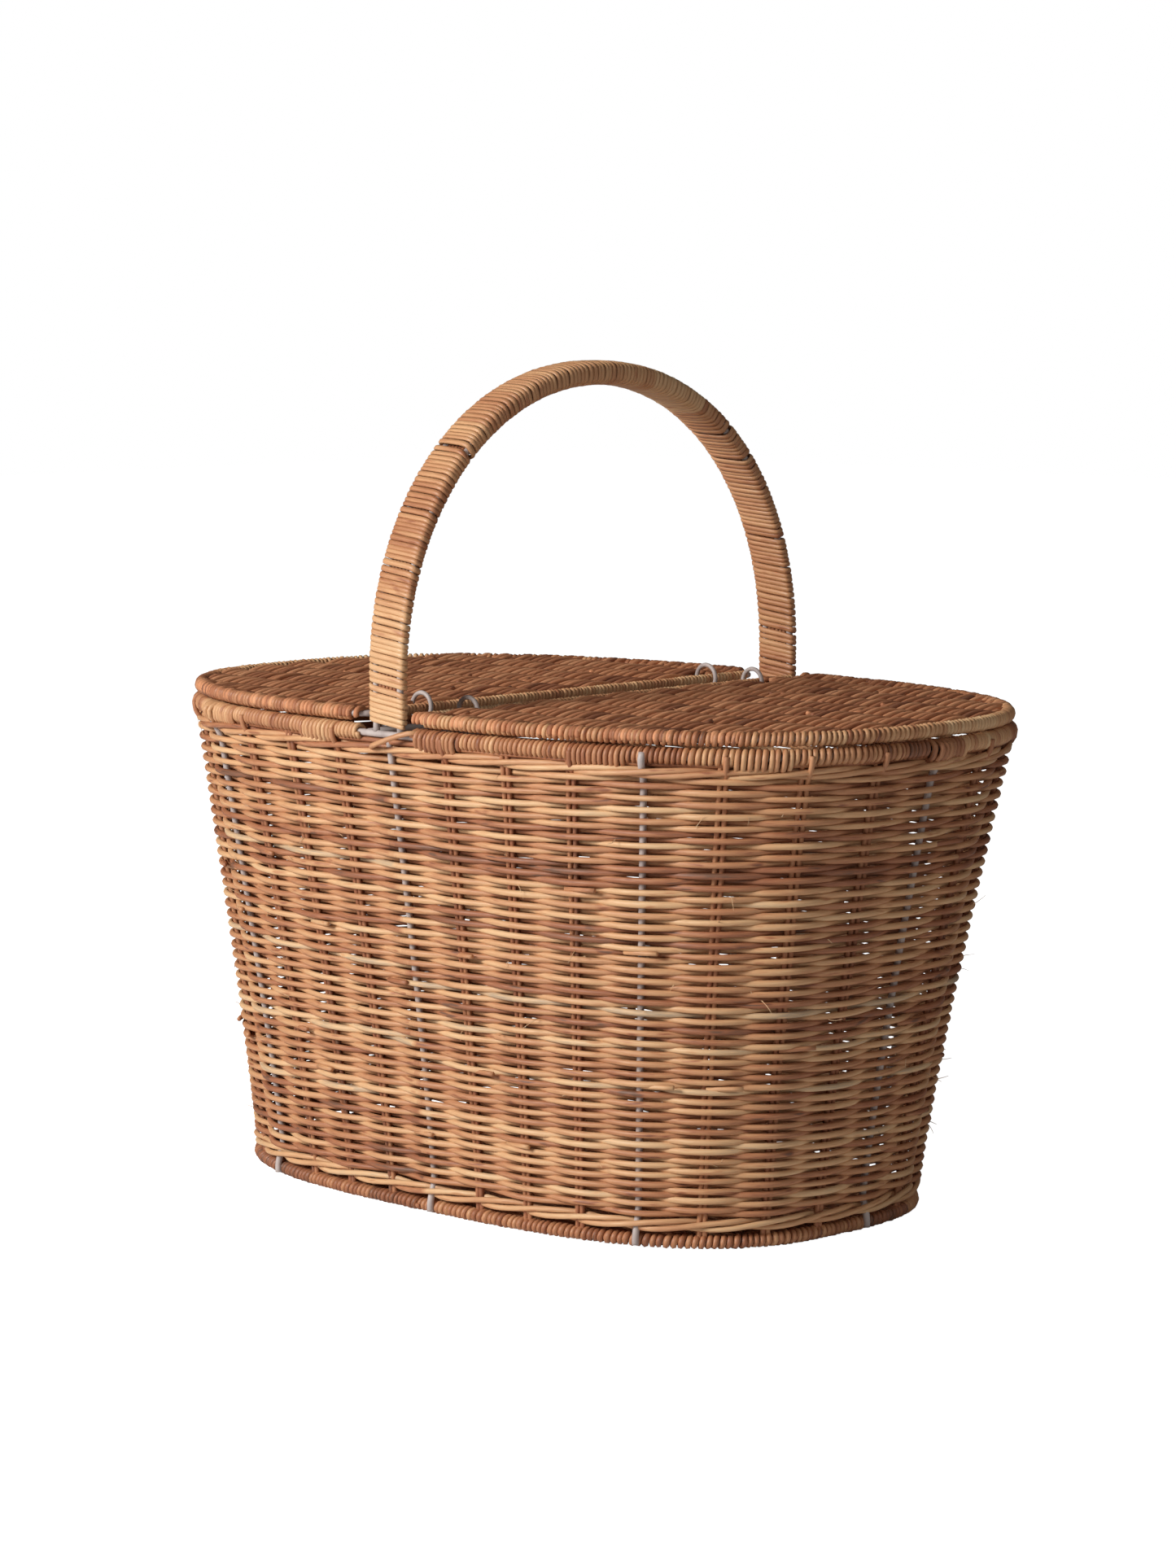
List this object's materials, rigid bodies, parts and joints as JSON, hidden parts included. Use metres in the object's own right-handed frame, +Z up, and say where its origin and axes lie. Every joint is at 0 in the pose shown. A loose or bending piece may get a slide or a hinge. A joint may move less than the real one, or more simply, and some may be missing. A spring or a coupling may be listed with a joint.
{
  "type": "lidded picnic basket",
  "caption": "Oval tapered picnic basket woven in rattan cane on a painted iron frame, with a cane-wrapped arched handle and half lids hinged at the middle.",
  "frame": {"origin": "on the floor, at the middle of the basket's bounding box seen from above, which is the middle of the rim", "axes": "+X along the basket's length towards the right lid, +Y across it towards the back end of the handle, +Z up"},
  "size_m": [0.472, 0.298, 0.4238],
  "materials": {
    "painted_iron": "pale greyish beige paint, satin, a little uneven",
    "wall_cane": "natural round rattan core, straw to reddish brown from strand to strand, low sheen",
    "stake_cane": "reddish brown rattan, low sheen",
    "binding_cane": "reddish brown rattan wound close, low sheen",
    "lid_cane": "reddish brown rattan, darker than the wall, low sheen",
    "base_cane": "brown rattan, low sheen",
    "handle_cane": "honey rattan wound close across the handle, low sheen"
  },
  "bodies": {
    "basket": {"base_ring": "painted_iron", "base_rod_left": "painted_iron", "base_rod_right": "painted_iron", "base_binding": "binding_cane", "base_weave": "base_cane", "upright_0": "painted_iron", "upright_4": "painted_iron", "upright_8": "painted_iron", "upright_12": "painted_iron", "upright_16": "painted_iron", "upright_20": "painted_iron", "upright_24": "painted_iron", "upright_28": "painted_iron", "cane_stake_1": "stake_cane", "cane_stake_2": "stake_cane", "cane_stake_3": "stake_cane", "cane_stake_5": "stake_cane", "cane_stake_6": "stake_cane", "cane_stake_7": "stake_cane", "cane_stake_9": "stake_cane", "cane_stake_10": "stake_cane", "cane_stake_11": "stake_cane", "cane_stake_13": "stake_cane", "cane_stake_14": "stake_cane", "cane_stake_15": "stake_cane", "cane_stake_17": "stake_cane", "cane_stake_18": "stake_cane", "cane_stake_19": "stake_cane", "cane_stake_21": "stake_cane", "cane_stake_22": "stake_cane", "cane_stake_23": "stake_cane", "cane_stake_25": "stake_cane", "cane_stake_26": "stake_cane", "cane_stake_27": "stake_cane", "cane_stake_29": "stake_cane", "cane_stake_30": "stake_cane", "cane_stake_31": "stake_cane", "wall_weave": "wall_cane", "rim_ring": "painted_iron", "rim_binding_left": "binding_cane", "rim_binding_right": "binding_cane", "crossbar_left": "painted_iron", "crossbar_right": "painted_iron", "eyelet_left_front": "painted_iron", "eyelet_left_back": "painted_iron", "eyelet_right_front": "painted_iron", "eyelet_right_back": "painted_iron", "handle_rod_left": "painted_iron", "handle_rod_right": "painted_iron", "handle_binding": "handle_cane"},
    "left_lid": {"left_lid_frame": "painted_iron", "left_lid_binding": "binding_cane", "left_lid_weave": "lid_cane"},
    "right_lid": {"right_lid_frame": "painted_iron", "right_lid_binding": "binding_cane", "right_lid_weave": "lid_cane"}
  },
  "joints": [
    {"name": "left_lid_hinge", "type": "hinge", "parent": "basket", "child": "left_lid", "pos_m": [-0.0166, 0, 0.252], "axis": [0, 1, 0], "range_deg": [0, 90]},
    {"name": "right_lid_hinge", "type": "hinge", "parent": "basket", "child": "right_lid", "pos_m": [0.0166, 0, 0.252], "axis": [0, -1, 0], "range_deg": [0, 90]}
  ]
}
